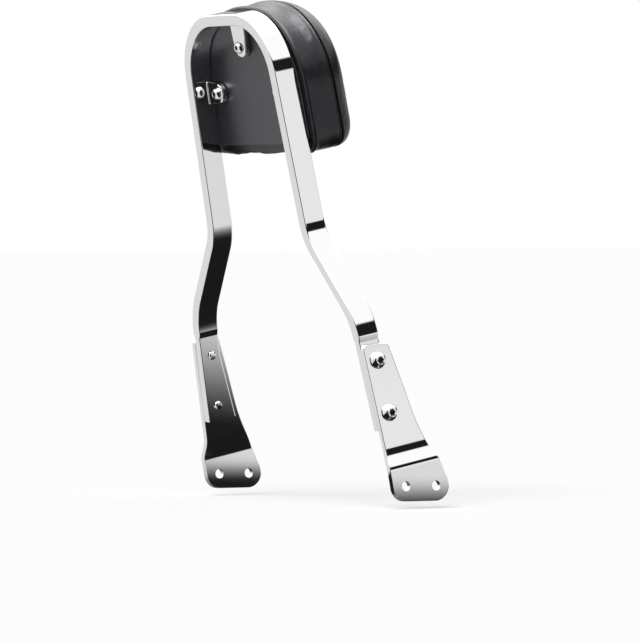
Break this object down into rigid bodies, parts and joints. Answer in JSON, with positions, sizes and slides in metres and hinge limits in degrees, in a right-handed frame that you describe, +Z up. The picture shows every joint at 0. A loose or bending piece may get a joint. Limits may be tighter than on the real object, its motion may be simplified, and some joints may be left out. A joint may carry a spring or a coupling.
{
  "type": "motorcycle backrest",
  "caption": "Chrome motorcycle backrest: a bent flat-bar hoop with a padded black vinyl rest, three pad tabs and two bolt-on side plates.",
  "frame": {"origin": "on the rear bolt axis through both side plates, midway between the plates", "axes": "+X along the bolt axis towards the right-hand side plate, +Y towards the front of the motorcycle, +Z up; the hoop leans back by 11.3 degrees"},
  "size_m": [0.3972, 0.1681, 0.5365],
  "materials": {
    "chrome_plate": "polished",
    "chrome_screw": "polished",
    "zinc_steel": "satin",
    "plywood": "matte",
    "vinyl_panel": "matte",
    "foam": "matte",
    "vinyl": "satin"
  },
  "bodies": {
    "root": {"hoop_bar": "chrome_plate", "crown_tab": "chrome_plate", "left_tab": "chrome_plate", "right_tab": "chrome_plate", "left_side_plate": "chrome_plate", "right_side_plate": "chrome_plate", "left_upper_plate_screw": "chrome_screw", "left_lower_plate_screw": "chrome_screw", "right_upper_plate_screw": "chrome_screw", "right_lower_plate_screw": "chrome_screw", "crown_pad_screw": "chrome_screw", "left_pad_screw": "chrome_screw", "right_pad_screw": "chrome_screw", "crown_tee_nut": "zinc_steel", "left_tee_nut": "zinc_steel", "right_tee_nut": "zinc_steel", "pad_board": "plywood", "pad_back_panel": "vinyl_panel", "pad_foam": "foam", "cover_boxing": "vinyl", "cover_front": "vinyl"}
  },
  "joints": []
}
